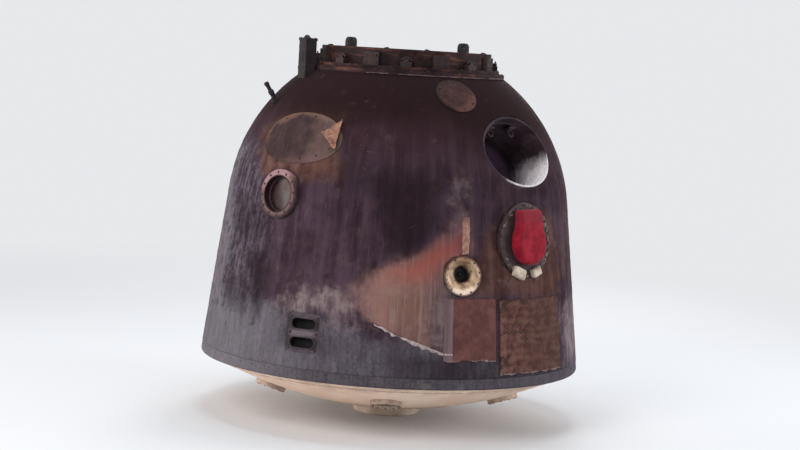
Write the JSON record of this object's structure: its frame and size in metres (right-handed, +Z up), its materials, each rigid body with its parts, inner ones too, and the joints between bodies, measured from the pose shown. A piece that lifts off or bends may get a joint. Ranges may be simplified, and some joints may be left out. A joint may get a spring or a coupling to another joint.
{
  "type": "crew space capsule",
  "caption": "Bell-shaped crew descent capsule after landing, with a scorched coat, a round top hatch, windows, an open parachute well, a capped periscope port and a bare domed base.",
  "frame": {"origin": "on the floor under the round foot, on the capsule's axis", "axes": "+Z up along the capsule's axis towards the hatch, -Y towards the side between window and periscope"},
  "size_m": [2.1974, 2.1974, 2.1774],
  "materials": {
    "charred_coat": "charred ablative coat, rough, streaked",
    "skirt_coat": "scorched ablative coat, rough",
    "base_coat": "dull cream paint, scuffed",
    "foot_metal": "dull",
    "engine_metal": "sooty",
    "rim_metal": "scorched",
    "ring_metal": "scorched brown, streaked",
    "dark_fitting": "matt black",
    "lid_paint": "satin",
    "wheel_metal": "satin",
    "frame_metal": "scorched, dull",
    "window_pane": "sooted",
    "flange_metal": "scorched, dull",
    "lens_glass": "clear",
    "red_cover": "coated cloth over a stiff core",
    "nozzle_metal": "heat tinted",
    "thruster_metal": "sooty",
    "well_liner": "dull",
    "reserve_coat": "scorched brown grey",
    "case_metal": "satin",
    "torn_coat": "torn, fibrous edge",
    "vent_coat": "scorched orange brown",
    "strip_coat": "scorched, pale orange",
    "smooth_coat": "scorched red brown, smooth",
    "ribbed_coat": "charred, ribbed",
    "plate_metal": "scorched",
    "plug_metal": "dull",
    "post_metal": "scorched black",
    "stub_metal": "scorched",
    "floor_metal": "satin",
    "couch_shell": "moulded, satin",
    "retainer_coat": "pale, scorched at its edges",
    "couch_pad": "woven",
    "panel_paint": "satin"
  },
  "bodies": {
    "hull": {"base_dome": "base_coat", "base_foot": "foot_metal", "landing_engines": "engine_metal", "base_ring": "rim_metal", "cabin_floor": "floor_metal", "side_wall": "skirt_coat", "upper_shell": "charred_coat", "window_frame_left": "frame_metal", "window_frame_rear": "frame_metal", "window_glass_left": "window_pane", "window_glass_rear": "window_pane", "periscope_port": "flange_metal", "periscope_lens": "lens_glass", "nozzle_front": "nozzle_metal", "nozzle_rear": "nozzle_metal", "roll_thrusters_left": "thruster_metal", "roll_thrusters_right": "thruster_metal", "main_parachute_well": "well_liner", "reserve_parachute_lid": "reserve_coat", "reserve_parachute_case": "case_metal", "vent_cover_front": "vent_coat", "vent_cover_rear": "vent_coat", "torn_flap": "torn_coat", "cable_raceway": "strip_coat", "smooth_panel": "smooth_coat", "ribbed_panel": "ribbed_coat", "umbilical_plate": "plate_metal", "umbilical_plugs": "plug_metal", "hatch_coaming": "ring_metal", "docking_collar": "ring_metal", "lock_pads": "dark_fitting", "lifting_lugs": "dark_fitting", "hatch_hinge_ears": "wheel_metal", "beacon_post": "post_metal", "antenna_stub": "stub_metal", "couch_left": "couch_shell", "couch_centre": "couch_shell", "couch_right": "couch_shell", "couch_pad_left": "couch_pad", "couch_pad_centre": "couch_pad", "couch_pad_right": "couch_pad", "retainer_blocks": "retainer_coat", "instrument_panel": "panel_paint", "panel_brackets": "panel_paint"},
    "hatch": {"hatch_lid": "lid_paint", "hatch_wheel": "wheel_metal"},
    "cap": {"periscope_cap": "red_cover"}
  },
  "joints": [
    {"name": "hatch_hinge", "type": "hinge", "parent": "hull", "child": "hatch", "pos_m": [0, 0.395, 1.95742], "axis": [1, 0, 0], "range_deg": [0, 90]},
    {"name": "cap_pull", "type": "slide", "parent": "hull", "child": "cap", "axis": [0.7018, -0.7018, 0.1219], "range_m": [0, 0.15]}
  ]
}
